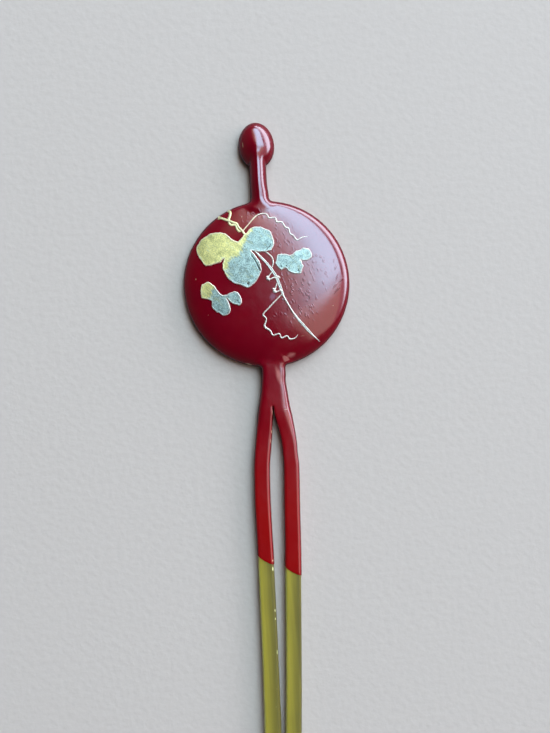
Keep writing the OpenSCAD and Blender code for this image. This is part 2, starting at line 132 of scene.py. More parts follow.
def along(rows, column, at):
    """One column of a table at a distance, on a smooth curve through its rows."""
    place, value = np.array(rows)[:, [0, column]].T
    last = len(rows) - 1
    at = np.clip(at, place[0], place[last])
    i = np.clip(np.searchsorted(place, at, side="right") - 1, 0, last - 1)
    before, after = np.maximum(i - 1, 0), np.minimum(i + 2, last)
    span = place[i + 1] - place[i]
    slope_a = (value[i + 1] - value[before]) / (place[i + 1] - place[before]) * span
    slope_b = (value[after] - value[i]) / (place[after] - place[i]) * span
    return hermite(value[i], slope_a, value[i + 1], slope_b, (at - place[i]) / span)


def fillet_middle(rows, fillet, side):
    """Middle of the round corner between the head and its stem or yoke."""
    x = rows[0][side] + fillet
    return x, math.sqrt((head_r + fillet) ** 2 - x**2)


def neck_at(y):
    return (stem_rows, stem_fillet) if y > 0 else (yoke_rows, yoke_fillet)


def neck_reach(y, side):
    """How far the stem or the yoke reaches to one side, with its fillet into the head."""
    rows, fillet = neck_at(y)
    arc_x, arc_y = fillet_middle(rows, fillet, side)
    if abs(y) >= arc_y:
        return float(along(rows, side, abs(y) - head_r))
    return arc_x - math.sqrt(max(fillet**2 - (arc_y - abs(y)) ** 2, 0))


def in_neck(x, y, rows, fillet):
    """Where a point lies in the stem or yoke, and how much of that still shows under the head.

    The first is 0 in the middle and 1 at the edge, at the fillet and at the head's edge beside it.
    """
    far = np.abs(y)
    left, right = along(rows, LEFT, far - head_r), along(rows, RIGHT, far - head_r)
    straight = np.abs(2 * x - right + left) / (right + left)
    foot_half, foot_middle = (rows[0][RIGHT] + rows[0][LEFT]) / 2, (rows[0][RIGHT] - rows[0][LEFT]) / 2
    left_arc, right_arc = fillet_middle(rows, fillet, LEFT), fillet_middle(rows, fillet, RIGHT)
    out = np.where(x > foot_middle, x, -x)
    arc_x = np.where(x > foot_middle, right_arc[0], left_arc[0])
    arc_y = np.where(x > foot_middle, right_arc[1], left_arc[1])
    beside = out * arc_y > far * arc_x
    inside = np.where(beside, head_r - np.hypot(x, far), np.hypot(out - arc_x, far - arc_y) - fillet)
    part = np.where(far >= arc_y, straight, np.clip(1 - inside / foot_half, 0, 1))
    past = np.hypot(x - foot_middle, np.maximum(head_r - far, 0))
    fading = 1 - ramp(past, foot_half, foot_half + neck_fade)
    return part, np.where(far >= left_arc[1], 1, fading)


def in_ear(x, y):
    """0 in the middle of the ear-pick and 1 at its edge."""
    return np.hypot((x - ear_x) / (ear_w / 2), (y - ear_y) / np.where(y > ear_y, ear_high, ear_low))


def outline_reach(y, side):
    """How far the pin reaches to one side at this height above the crotch."""
    ear_half = ear_w / 2 * math.sqrt(max(1 - in_ear(ear_x, y) ** 2, 0))
    ear_reach = ear_half + (ear_x if side == RIGHT else -ear_x)
    if y > ear_y:
        return ear_reach
    if ear_half > 0:
        return max(ear_reach, neck_reach(y, side))
    rows, fillet = neck_at(y)
    arc_y = fillet_middle(rows, fillet, side)[1]
    if abs(y) > arc_y * head_r / (head_r + fillet):
        return neck_reach(y, side)
    return math.sqrt(head_r**2 - y**2)


def under_ear(y):
    """1 below the ear-pick, 0 where the stem has run out into it."""
    return 1 - ramp(y, ear_y - ear_run_l, ear_y + ear_run_l)


def blend(head, neck, ear):
    return (head**blend_power + neck**blend_power + ear**blend_power) ** (1 / blend_power)


def rise(x, y):
    """Height of the pin's face above its widest level."""
    in_stem, stem_share = in_neck(x, y, stem_rows, stem_fillet)
    in_yoke, yoke_share = in_neck(x, y, yoke_rows, yoke_fillet)
    stem_high = stem_foot_t - rim_z + (stem_t - stem_foot_t) * ramp(y, head_r - 1, head_r + stem_swell_l)
    stem = stem_high * stem_share * under_ear(y) * dome(in_stem, stem_face)
    yoke = (yoke_t - rim_z) * yoke_share * dome(in_yoke, yoke_face)
    return blend(
        (head_t - rim_z) * dome(np.hypot(x, y) / head_r, head_face),
        np.where(y > 0, stem, yoke),
        (ear_t - rim_z) * dome(in_ear(x, y), ear_face),
    )


def fall(x, y):
    """Depth of the pin's back below its widest level, cut flat where it lies on the table."""
    in_stem, stem_share = in_neck(x, y, stem_rows, stem_fillet)
    in_yoke, yoke_share = in_neck(x, y, yoke_rows, yoke_fillet)
    stem = stem_share * under_ear(y) * dome(in_stem, neck_back)
    yoke = yoke_share * dome(in_yoke, neck_back)
    full = blend(
        dome(np.hypot(x, y) / head_r, head_back),
        np.where(y > 0, stem, yoke),
        dome(in_ear(x, y), ear_back),
    )
    return rim_z * np.minimum(1, back_cut * np.minimum(1, full))


def hollow(x, y):
    """Height of the ear-pick's hollow above the table."""
    ball_r = ((scoop_d / 2) ** 2 + scoop_depth**2) / (2 * scoop_depth)
    inside = np.maximum(ball_r**2 - (x - ear_x) ** 2 - (y - ear_y) ** 2, 0)
    return scoop_depth - ball_r + np.sqrt(inside)


columns = 88  # faces across the pin, half of them across each leg
half = columns // 2
face_turn = np.radians(np.linspace(-90, 90, columns + 1))
pin_turn = np.concatenate([face_turn, face_turn[-2:0:-1]])
on_face = np.arange(2 * columns) <= columns
leg_turn = np.radians(np.concatenate([np.linspace(-90, 90, half + 1), np.linspace(90, -90, half + 1)[1:-1]]))
leg_on_face = np.arange(columns) <= half


def pin_ring(y):
    left, right = -outline_reach(y, LEFT), outline_reach(y, RIGHT)
    middle = (left + right) / 2
    pull = (crotch_x - middle) * ramp(-y, head_r + 2, head_r + crotch)
    x = middle + (right - left) / 2 * np.sin(pin_turn) + pull * np.cos(pin_turn)
    high, deep = rise(x, y), fall(x, y)
    # A groove opens towards the crotch, where the legs part
    parted = ramp(-y, head_r + crotch - groove_l, head_r + crotch)
    inward = 1 - 2 * np.abs(x - crotch_x) / np.where(x < crotch_x, crotch_x - left, right - crotch_x)
    high = high * (1 - parted) + high * dome(np.maximum(inward, 0), slit_face) * parted
    deep = deep * (1 - parted) + rim_z * np.minimum(1, back_cut * dome(np.abs(inward), leg_back)) * parted
    z = np.where(on_face, rim_z + high, np.maximum(rim_z - deep, hollow(x, y)))
    return np.stack([x, np.full_like(x, y), z], axis=1)


def leg_side(down, side, way, coat):
    return along(leg_rows, side, down) + way * (along(leg_rows, side + 2, down) / 2 + coat)


def leg_rise(x, across, down, side, coat):
    """Height of a leg's face above its widest level: near the crotch it is still a part of the slit yoke."""
    yoke_left, yoke_right = leg_side(down, LEFT, -1, coat), leg_side(down, RIGHT, 1, coat)
    in_yoke = np.abs(2 * x - yoke_left - yoke_right) / (yoke_right - yoke_left)
    inward = np.maximum(across if side == LEFT else -across, 0)
    merged = 1 - ramp(down, crotch, crotch + merge_l)
    leg = (leg_t - coat_t - rim_z + coat) * dome(np.abs(across), leg_face)
    yoke = (yoke_t - rim_z) * dome(in_yoke, yoke_face) * dome(inward, slit_face)
    return leg + (yoke - leg) * merged


def leg_ring(down, side, slant=0.0, coat=0.0, size=1.0, sag=0.0):
    middle = along(leg_rows, side, down)
    reach = along(leg_rows, side + 2, down) / 2 + coat
    # Near the crotch its points still stand as they do across the yoke
    inner = 1 if side == LEFT else -1
    in_yoke = inner + 2 * np.sin((leg_turn - inner * math.pi / 2) / 2)
    across = in_yoke + (np.sin(leg_turn) - in_yoke) * ramp(down, crotch, crotch + merge_l)
    x = reach * size * across
    high = size * leg_rise(middle + x, across, down, side, coat)
    deep = (rim_z - coat_t + coat) * size * np.minimum(1, back_cut * dome(np.abs(across), leg_back))
    y = -head_r - down - slant * x - sag * (1 - across**2)
    return np.stack([middle + x, y, np.where(leg_on_face, rim_z + high, rim_z - deep)], axis=1)


def ragged(ring, amount):
    """Moves a ring up and down along the leg by smooth noise."""
    for point in ring:
        point[1] += amount * noise.noise(Vector(point) * ragged_per_mm)
    return ring


def spaced(start, end, step):
    return np.linspace(start, end, max(2, round(abs(end - start) / step) + 1))


stem_arc_x, stem_arc_y = fillet_middle(stem_rows, stem_fillet, LEFT)
yoke_arc_x, yoke_arc_y = fillet_middle(yoke_rows, yoke_fillet, LEFT)
turn_high = math.degrees(math.asin(stem_arc_x / (head_r + stem_fillet)))
turn_low = 180 - math.degrees(math.asin(yoke_arc_x / (head_r + yoke_fillet)))
ear_turn = np.radians(spaced(2, 152, ear_step))
fillet_arc = np.radians(spaced(0, fillet_turn, fillet_step))
ring_y = np.concatenate([
    ear_y + np.where(ear_turn < math.pi / 2, ear_high, ear_low) * np.cos(ear_turn),
    spaced(ear_y - 0.9 * ear_low, stem_arc_y + 0.1, stem_step),
    stem_arc_y - stem_fillet * np.sin(fillet_arc),
    head_r * np.cos(np.radians(spaced(turn_high + head_gap, turn_low - head_gap, head_step))),
    yoke_fillet * np.sin(fillet_arc[::-1]) - yoke_arc_y,
    spaced(-yoke_arc_y - yoke_step, -head_r - crotch, yoke_step),
])


def lacquered_leg(side):
    """Rings down to the lacquer's edge, round its lip and a little way up inside it."""
    end = (dip_left if side == LEFT else dip_right) - head_r
    rings = []
    for u in np.linspace(0, 1, red_rings)[1:]:
        down = crotch + (end - crotch) * u**crowding
        ring = leg_ring(down, side, dip_slant * u**slant_fade, coat_t, sag=dip_sag * u**sag_fade)
        rings.append(ragged(ring, dip_ragged * u**ragged_fade))
    for down, coat in lip_rows:
        ring = leg_ring(end + lip_l * down, side, dip_slant, coat_t * coat, sag=dip_sag)
        rings.append(ragged(ring, dip_ragged))
    rings.append(leg_ring(end - sleeve_l, side, dip_slant, sleeve_gap * coat_t, sag=dip_sag))
    return rings


def loops(start, rings, size):
    return [list(range(start + i * size, start + (i + 1) * size)) for i in range(rings)]


def skin(a, b):
    """Faces between two loops of the same length, where a point given twice in a row closes a face."""
    faces = []
    for j in range(len(a)):
        k = (j + 1) % len(a)
        face = [a[j], a[k], b[k], b[j]]
        faces.append([p for i, p in enumerate(face) if p != face[i - 1]])
    return faces


def skins(rings):
    return [face for a, b in zip(rings, rings[1:]) for face in skin(a, b)]


def placed(name, data):
    """An object in the scene, from its mesh, light or camera."""
    thing = bpy.data.objects.new(name, data)
    bpy.context.scene.collection.objects.link(thing)
    return thing


def make_piece(name, points, faces, replaced, material):
    """A smooth-shaded piece from points in millimetres, in the place of its CAD node."""
    mesh = bpy.data.meshes.new(name)
    mesh.from_pydata([tuple(p) for p in np.asarray(points) * MM], [], faces)
    mesh.validate()
    mesh.polygons.foreach_set("use_smooth", [True] * len(mesh.polygons))
    mesh.materials.append(material)
    piece = placed(name, mesh)
    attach(piece, "root")
    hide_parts(replaced)
    return piece


pin_rings = [pin_ring(y) for y in ring_y]
left_rings, right_rings = lacquered_leg(LEFT), lacquered_leg(RIGHT)
left_start = len(pin_rings) * 2 * columns
right_start = left_start + len(left_rings) * columns
pin_loops = loops(0, len(pin_rings), 2 * columns)
left_loops = loops(left_start, len(left_rings), columns)
right_loops = loops(right_start, len(right_rings), columns)
last = pin_loops[-1]
left_split = last[:half + 1] + last[columns + half:]
right_split = last[half:columns + half]
left_top = left_loops[0][:half + 1] + left_loops[0][half:]
right_top = right_loops[0] + [right_loops[0][0]]
pin_faces = (
    [pin_loops[0][::-1]] + skins(pin_loops) + skin(left_split, left_top[:len(left_split)])
    + skin(right_split, right_top[:len(right_split)]) + skins(left_loops) + skins(right_loops)
    + [left_loops[-1], right_loops[-1]]
)
pin_points = np.concatenate(pin_rings + left_rings + right_rings)


def add(tree, kind, inputs=None, **settings):
    """A shader node with its settings, and its inputs as values or as other nodes' outputs."""
    node = tree.nodes.new("ShaderNode" + kind)
    for name, value in settings.items():
        setattr(node, name, value)
    for name, value in (inputs or {}).items():
        if isinstance(value, bpy.types.NodeSocket):
            tree.links.new(value, node.inputs[name])
        else:
            node.inputs[name].default_value = value
    return node


def new_material(name):
    """An empty material with its shader and its place in millimetres."""
    material = bpy.data.materials.new(name)
    material.use_nodes = True
    tree = material.node_tree
    tree.nodes.clear()
    shader = add(tree, "BsdfPrincipled")
    output = add(tree, "OutputMaterial")
    tree.links.new(shader.outputs[0], output.inputs["Surface"])
    here = add(tree, "TexCoord").outputs["Object"]
    return material, tree, shader, stretched(tree, here, (1 / MM, 1 / MM, 1 / MM))


def new_group(name, inputs):
    """An empty node group that puts out a mask. Its inputs are (name, type, value)."""
    tree = bpy.data.node_groups.new(name, "ShaderNodeTree")
    for label, kind, value in inputs:
        socket = tree.interface.new_socket(label, in_out="INPUT", socket_type="NodeSocket" + kind)
        socket.default_value = value
    tree.interface.new_socket("Mask", in_out="OUTPUT", socket_type="NodeSocketFloat")
    taken, given = tree.nodes.new("NodeGroupInput"), tree.nodes.new("NodeGroupOutput")
    return tree, taken.outputs, given.inputs["Mask"]


def group_mask(tree, group, inputs):
    return add(tree, "Group", inputs, node_tree=group).outputs["Mask"]


def mask_of(tree, name):
    """A mask kept on the points of a piece."""
    return add(tree, "Attribute", attribute_name=name).outputs["Fac"]


def noise_of(tree, place, scale, detail, roughness=0.5):
    inputs = {"Vector": place, "Scale": scale, "Detail": detail, "Roughness": roughness}
    return add(tree, "TexNoise", inputs).outputs["Fac"]


def vector_maths(tree, operation, a, b):
    return add(tree, "VectorMath", {0: a, 1: b}, operation=operation).outputs[0]


def stretched(tree, place, by):
    return vector_maths(tree, "MULTIPLY", place, by)


def turned(tree, place, angle):
    return add(tree, "VectorRotate", {"Vector": place, "Angle": angle}, rotation_type="Z_AXIS").outputs[0]


def bumped(tree, shader, height, strength=1.0):
    """Gives a material a bump from heights in millimetres."""
    bump = add(tree, "Bump", {"Height": height, "Distance": MM, "Strength": strength})
    tree.links.new(bump.outputs["Normal"], shader.inputs["Normal"])


def mixed(tree, share, a, b):
    """Colour a turning into colour b as the share goes from 0 to 1."""
    node = add(tree, "Mix", {"Factor": share, "A": a, "B": b}, data_type="RGBA")
    return node.outputs["Result"]


def maths(tree, operation, a, b=0.0):
    return add(tree, "Math", {0: a, 1: b}, operation=operation).outputs[0]


def sum_of(tree, *values):
    total = values[0]
    for value in values[1:]:
        total = maths(tree, "ADD", total, value)
    return total


def times(tree, a, b):
    return maths(tree, "MULTIPLY", a, b)


def remapped(tree, value, low, high, to_low=0.0, to_high=1.0, kind="SMOOTHSTEP"):
    inputs = {"Value": value, "From Min": low, "From Max": high, "To Min": to_low, "To Max": to_high}
    return add(tree, "MapRange", inputs, interpolation_type=kind).outputs["Result"]


# A soft-edged spot, for stains, chips, scratches, painted glints and painted highlights. It goes through the
# pin's whole thickness.
spot_z, spot_depth = 2.0, 9.0
spot_group, taken, given = new_group(
    "Spot",
    [("Place", "Vector", (0, 0, 0)), ("Middle", "Vector", (0, 0, 0)),
     ("Half size", "Vector", (1, 1, spot_depth)), ("Turn", "Float", 0.0), ("Softness", "Float", 0.4),
     ("Raggedness", "Float", 0.3)],
)
tree = spot_group
off = vector_maths(tree, "SUBTRACT", taken["Place"], taken["Middle"])
off = turned(tree, off, taken["Turn"])
off = vector_maths(tree, "DIVIDE", off, taken["Half size"])
reach = add(tree, "VectorMath", {0: off}, operation="LENGTH").outputs["Value"]
rough = maths(tree, "SUBTRACT", noise_of(tree, off, 1.7, 3.0), 0.5)
reach = sum_of(tree, reach, times(tree, rough, taken["Raggedness"]))
inner = maths(tree, "SUBTRACT", 1.0, taken["Softness"])
tree.links.new(remapped(tree, reach, inner, 1.0, 1.0, 0.0), given)


def spots(tree, place, rows, softness, raggedness):
    """The strongest of several spots.

    Each is x, y, half width, half height, strength, and a turn in degrees if it has one.
    """
    total = None
    for x, y, half_w, half_h, strength, *turn in rows:
        mask = group_mask(tree, spot_group, {
            "Place": place, "Middle": (x, y, spot_z), "Half size": (half_w, half_h, spot_depth),
            "Turn": -math.radians(sum(turn)), "Softness": softness, "Raggedness": raggedness,
        })
        mask = times(tree, mask, strength)
        total = mask if total is None else maths(tree, "MAXIMUM", total, mask)
    return total


# Small blisters scattered over a surface, some cells of it having none
blister_group, taken, given = new_group(
    "Blisters",
    [("Place", "Vector", (0, 0, 0)), ("Turn", "Float", 0.0), ("Stretch", "Vector", (1, 1, 1)),
     ("Per millimetre", "Float", 1.0), ("Share", "Float", 0.4), ("Size", "Float", 0.4)],
)
tree = blister_group
inputs = {"Vector": taken["Place"], "Scale": 0.9, "Detail": 2.0}
bent = add(tree, "TexNoise", inputs).outputs["Color"]
bent = vector_maths(tree, "ADD", bent, taken["Place"])
bent = stretched(tree, turned(tree, bent, taken["Turn"]), taken["Stretch"])
cells = add(tree, "TexVoronoi", {"Vector": bent, "Scale": taken["Per millimetre"]}, feature="F1")
lump = remapped(tree, cells.outputs["Distance"], 0.0, taken["Size"], 1.0, 0.0)
chosen = add(tree, "SeparateColor", {"Color": cells.outputs["Color"]}).outputs[0]
chosen = maths(tree, "LESS_THAN", chosen, taken["Share"])
tree.links.new(times(tree, lump, chosen), given)

# Fine scratches: long thin streaks that come and go
scratch_group, taken, given = new_group(
    "Scratches",
    [("Place", "Vector", (0, 0, 0)), ("Turn", "Vector", (0, 0, 0)), ("Stretch", "Vector", (4, 0.2, 1)),
     ("Fineness", "Float", 0.04)],
)
tree = scratch_group
inputs = {"Vector": taken["Place"], "Rotation": taken["Turn"]}
drawn = add(tree, "VectorRotate", inputs, rotation_type="EULER_XYZ").outputs[0]
drawn = stretched(tree, drawn, taken["Stretch"])
streak = maths(tree, "SUBTRACT", noise_of(tree, drawn, 1.0, 1.0), 0.5)
streak = maths(tree, "ABSOLUTE", streak)
line = remapped(tree, streak, 0.0, taken["Fineness"], 1.0, 0.0, kind="LINEAR")
comes = noise_of(tree, taken["Place"], 0.35, 0.0)
comes = remapped(tree, comes, 0.56, 0.68, kind="LINEAR")
tree.links.new(times(tree, line, comes), given)

lacquer, tree, shader, place = new_material("crimson lacquer")
deep_crimson = (0.150, 0.0006, 0.006, 1)
warm_red = (0.24, 0.002, 0.002, 1)
rubbed_and_sheen_pink = (0.46, 0.15, 0.12, 1)
bare_horn_and_highlight = (0.62, 0.42, 0.22, 1)
smudge_grey = (0.20, 0.07, 0.10, 1)
speck_dark = (0.03, 0.004, 0.003, 1)

xyz = add(tree, "SeparateXYZ", {"Vector": place}).outputs
mottle = remapped(tree, noise_of(tree, place, 0.16, 4.0, 0.6), 0.35, 0.7, -0.06, 0.12)
warm = sum_of(tree, remapped(tree, xyz["Y"], -12.0, -44.0, 0.0, 0.95), mottle)
colour = mixed(tree, warm, deep_crimson, warm_red)
# Marks in the lacquer, as spots: a smudge, worn patches, chips down to the horn, dark specks. A few of the
# worn patches and chips are painted light instead: a painted reflection and painted highlights.
smudge = spots(tree, place, [(1.0, -2.5, 0.68, 1.05, 0.85, -20)], 0.7, 1.2)
colour = mixed(tree, smudge, colour, smudge_grey)
# Worn patches in a pale pink. The first is real wear on the yoke. The second, at the head's lower right, is
# a painted reflection. The third, along the right leg's outer edge, is a painted highlight streak.
worn_and_reflection_rows = [
    (0.95, -16.5, 0.62, 2.2, 0.75, 12), (3.5, -13.1, 1.15, 0.62, 0.6, 8), (2.35, -24.6, 0.24, 6.5, 0.3, 6),
]
colour = mixed(tree, spots(tree, place, worn_and_reflection_rows, 0.9, 0.8), colour, rubbed_and_sheen_pink)
# Chips down to the horn, and painted highlights in the same pale colour. The long mark on the head's lower
# left rim and the last one, on the ear-pick's left side, are painted highlights.
chip_and_highlight_rows = [
    (-0.80, -25.85, 0.10, 0.22, 1.0), (-1.02, -26.6, 0.07, 0.4, 0.7), (-1.30, -28.3, 0.06, 0.5, 0.6),
    (-0.62, -23.2, 0.06, 0.6, 0.5), (-2.5, -49.7, 0.12, 0.2, 0.8), (1.9, -22.75, 0.45, 0.06, 0.5),
    (-12.53, 1.64, 0.12, 0.2, 0.4), (-10.76, -4.92, 0.1, 0.06, 0.5), (11.61, -4.85, 0.07, 0.07, 0.7),
    (-3.51, 12.21, 0.08, 0.2, 0.45), (5.8, -9.88, 0.5, 0.03, 0.35), (-4.2, -14.2, 0.8, 0.14, 0.5, -20),
    (-2.43, 25.1, 0.12, 0.6, 0.3, 5),
]
chips_and_highlights = spots(tree, place, chip_and_highlight_rows, 0.5, 1.2)
colour = mixed(tree, chips_and_highlights, colour, bare_horn_and_highlight)
speck_rows = [
    (1.37, -36.9, 0.10, 0.16, 0.7), (3.0, -41.4, 0.10, 0.2, 0.7), (2.9, -47.5, 0.12, 0.25, 0.8),
]
specks = spots(tree, place, speck_rows, 0.5, 1.0)
colour = mixed(tree, specks, colour, speck_dark)
tree.links.new(colour, shader.inputs["Base Color"])

blisters = group_mask(tree, blister_group, {
    "Place": place, "Turn": -0.3, "Stretch": (1.9, 0.85, 1.0),
    "Per millimetre": 1.0, "Share": 0.9, "Size": 0.46,
})
peel = noise_of(tree, place, 0.9, 2.0)
ripple = noise_of(tree, place, 3.2, 2.0)
scratch_rows = [
    (12.55, -2.1, 1.05, 0.2, 1.0, 43), (12.25, -1.3, 0.9, 0.18, 0.6, 45), (13.35, -0.4, 0.75, 0.2, 1.0, 33),
    (12.7, 0.3, 1.0, 0.2, 0.6, 66), (12.5, 1.9, 0.6, 0.18, 0.5, 70), (12.3, 3.2, 0.5, 0.18, 0.4, 75),
]
rim_scratch = spots(tree, place, scratch_rows, 0.9, 0.5)
hairlines = group_mask(tree, scratch_group, {
    "Place": place, "Turn": (0, 0, -0.4), "Stretch": (2.0, 0.12, 1.0), "Fineness": 0.02,
})
peel_t, ripple_t, blister_t, rim_scratch_t, hairline_t = 0.020, 0.004, 0.15, 0.16, -0.0015
height = sum_of(tree, times(tree, peel, peel_t), times(tree, ripple, ripple_t),
                times(tree, times(tree, blisters, mask_of(tree, "blistered")), blister_t),
                times(tree, rim_scratch, rim_scratch_t), times(tree, hairlines, hairline_t))
bumped(tree, shader, height)
rubbed = noise_of(tree, place, 0.5, 6.0)
roughness = sum_of(tree, remapped(tree, rubbed, 0.3, 0.7, 0.17, 0.24), times(tree, chips_and_highlights, 0.25))
tree.links.new(roughness, shader.inputs["Roughness"])
shader.inputs["IOR"].default_value = 1.5
shader.inputs["Coat Weight"].default_value = 1.0
shader.inputs["Coat Roughness"].default_value = 0.09
shader.inputs["Coat IOR"].default_value = 1.55

pin = make_piece("lacquered_form", pin_points, pin_faces, "lacquered_pin", lacquer)

# The lacquer has blistered in a few broad areas of the head: x, y, half width, half height, strength
blistered_areas = [
    (5.6, -2.4, 4.6, 7.0, 1.0), (9.0, 1.5, 3.6, 6.0, 0.45), (3.0, 8.0, 3.8, 4.4, 0.45),
    (1.5, -6.8, 1.6, 2.0, 0.4), (-0.5, 12.0, 4.5, 2.0, 0.4),
]


def set_mask(piece, name, values):
    """Keeps a mask on the points of a piece, for its material."""
    layer = piece.data.attributes.new(name, "FLOAT", "POINT")
    layer.data.foreach_set("value", np.asarray(values, np.float32))


share = np.zeros(len(pin_points))
for x, y, half_w, half_h, strength in blistered_areas:
    off = np.hypot((pin_points[:, 0] - x) / half_w, (pin_points[:, 1] - y) / half_h)
    share = np.maximum(share, strength * (1 - ramp(off, 0.3, 1.0)))
set_mask(pin, "blistered", share)

# Bare horn legs
# The lower stretch of each leg, where the lacquer ends: translucent olive horn, filed flat underneath.
# Each runs up into its sleeve of lacquer and down to a rounded tip.

tip_l = 3.0
overlap = 0.8  # how far a bare leg runs up into its sleeve, as a share of the sleeve
bare_rings, tip_rings = 90, 20
tip_turn = 88  # a little less than a quarter turn, which leaves each tip a small flat end
leg_end = -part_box("leg_left")[0][1] / MM - head_r


def bare_leg(side):
    start = (dip_left if side == LEFT else dip_right) - head_r - overlap * sleeve_l
    tip_start = leg_end - tip_l
    rings = []
    for u in np.linspace(0, 1, bare_rings)[:-1]:
        down = start + (tip_start - start) * u
        slant = dip_slant * (1 - u) ** (2 * slant_fade)
        rings.append(leg_ring(down, side, slant, sag=dip_sag * (1 - u) ** (2 * sag_fade)))
    for a in np.radians(np.linspace(0, tip_turn, tip_rings)):
        rings.append(leg_ring(tip_start + tip_l * math.sin(a), side, size=math.cos(a)))
    return rings


horn, tree, shader, place = new_material("olive horn")
horn_yellow = (0.36, 0.285, 0.030, 1)
horn_olive = (0.105, 0.085, 0.020, 1)
horn_pale_and_highlight = (0.80, 0.76, 0.36, 1)
fibre = noise_of(tree, stretched(tree, place, (1.6, 0.05, 1.6)), 1.0, 5.0, 0.6)
cloud = noise_of(tree, place, 0.08, 2.0)
streaks = sum_of(tree, times(tree, fibre, 0.6), times(tree, cloud, 0.4))
streaks = remapped(tree, streaks, 0.4, 0.6, -0.08, 0.08)
across = mask_of(tree, "across")
# Painted light: the horn is painted yellower and brighter towards each leg's left side, where light passing
# through it gathers, and darker olive towards the right.
painted_glow = sum_of(tree, remapped(tree, across, -0.9, 0.9, 0.80, 0.10), streaks)
colour = mixed(tree, painted_glow, horn_olive, horn_yellow)
flecks = group_mask(tree, blister_group, {
    "Place": place, "Stretch": (1.0, 0.6, 1.0), "Per millimetre": 0.9, "Share": 0.16, "Size": 0.12,
})
# Painted glints: pale specks along the left leg's right edge.
painted_glint_rows = [
    (-2.60, -51.2, 0.16, 0.45, 0.8), (-2.76, -58.7, 0.10, 0.3, 0.8), (-2.80, -60.2, 0.10, 0.25, 0.7),
    (-2.92, -66.2, 0.09, 0.5, 0.6),
]
painted_glints = spots(tree, place, painted_glint_rows, 0.5, 1.0)
# Painted light: a pale line along each leg's left edge.
painted_edge_light = remapped(tree, across, -1.0, -0.72, 0.5, 0.0)
pale = sum_of(tree, times(tree, flecks, 0.7), painted_glints, painted_edge_light)
colour = mixed(tree, pale, colour, horn_pale_and_highlight)
tree.links.new(colour, shader.inputs["Base Color"])
filed = group_mask(tree, scratch_group, {"Place": place, "Stretch": (3.0, 0.1, 1.0), "Fineness": 0.05})
fibre_t, filed_t, fleck_t = 0.012, -0.002, 0.01
height = sum_of(tree, times(tree, fibre, fibre_t), times(tree, filed, filed_t), times(tree, flecks, fleck_t))
bumped(tree, shader, height)
tree.links.new(remapped(tree, fibre, 0.3, 0.7, 0.40, 0.52), shader.inputs["Roughness"])
shader.inputs["IOR"].default_value = 1.5
shader.inputs["Specular IOR Level"].default_value = 0.22
shader.inputs["Subsurface Weight"].default_value = 0.2
shader.inputs["Subsurface Radius"].default_value = (1.0, 0.8, 0.3)
shader.inputs["Subsurface Scale"].default_value = 0.8 * MM

for name, node, side in (("horn_leg_left", "leg_left", LEFT), ("horn_leg_right", "leg_right", RIGHT)):
    rings = bare_leg(side)
    horn_loops = loops(0, len(rings), columns)
    faces = [horn_loops[0][::-1]] + skins(horn_loops) + [horn_loops[-1]]
    leg = make_piece(name, np.concatenate(rings), faces, node, horn)
    set_mask(leg, "across", np.tile(np.sin(leg_turn), len(rings)))

# Raised leaves
# Gold and silver dust laid over raised lacquer, in three leaves of three lobes each.
# Each has a fine rounded edge where the metal is rubbed pale, and pits where the dust has gone.

relief_t = 0.17
edge_l = 0.11
bead_l, bead_w, bead_t = 0.14, 0.07, 0.025
wave_t = 0.012  # how far the dust's level rises and falls
notch_l = 0.15
rub_l = 0.16
bead_from, wave_from = 0.05, 0.3  # how far in from the edge the bead and the waves are whole
wide_per_mm, fine_per_mm, wave_per_mm = 1.3, 3.1, 0.7
gold_to_silver = (-0.9, 0.6)
sunk = 0.02  # how far its underside lies in the lacquer
pit_depth = 0.9
fold_floor, pit_floor = 0.25, 0.3  # how much of a fold's or a pit's width is its floor
fold_steps = (-1.4, -1, -0.7, -0.4, 0, 0.4, 0.7, 1, 1.4)
pit_steps = (0.25, 0.5, 0.75, 1.0)
grid_step = 0.12
edge_steps = (0.02, 0.05, 0.09, 0.13, 0.18, 0.24, 0.31)
edge_points, line_steps = 9, 12  # steps of a smooth curve between two of its rows

# Each row is x, y, and 0 at a corner or 1 on a curve
leaf_large_rows = [
    (-12.23, 6.97, 1), (-11.79, 5.64, 1), (-11.2, 4.6, 1), (-10.74, 3.99, 0), (-9.8, 4.05, 1),
    (-8.91, 4.27, 1), (-8.0, 4.6, 1), (-7.31, 5.21, 0), (-7.62, 4.4, 1), (-7.69, 3.53, 1),
    (-7.4, 2.4, 1), (-6.79, 1.39, 1),
    (-6.1, 0.75, 1), (-5.31, 0.37, 1), (-4.4, 0.0, 1), (-3.42, -0.41, 0), (-2.8, -0.2, 1), (-1.93, 0.51, 1),
    (-1.2, 1.5, 1), (-0.67, 2.63, 0), (-0.85, 3.9, 1), (-1.22, 4.8, 1), (-2.28, 6.24, 0), (-1.14, 5.96, 1),
    (-0.2, 5.82, 1), (0.67, 5.83, 0), (1.54, 6.29, 1), (1.98, 7.42, 0), (1.55, 9.07, 1), (0.9, 9.8, 1),
    (0.21, 10.21, 1), (-0.93, 10.49, 1), (-2.25, 10.19, 1), (-3.35, 9.3, 1), (-4.1, 8.5, 1),
    (-4.55, 7.96, 0), (-5.2, 8.3, 1), (-5.86, 8.77, 1), (-7.08, 9.71, 1), (-8.49, 10.0, 1),
    (-10.2, 9.55, 1), (-11.59, 8.35, 1),
]
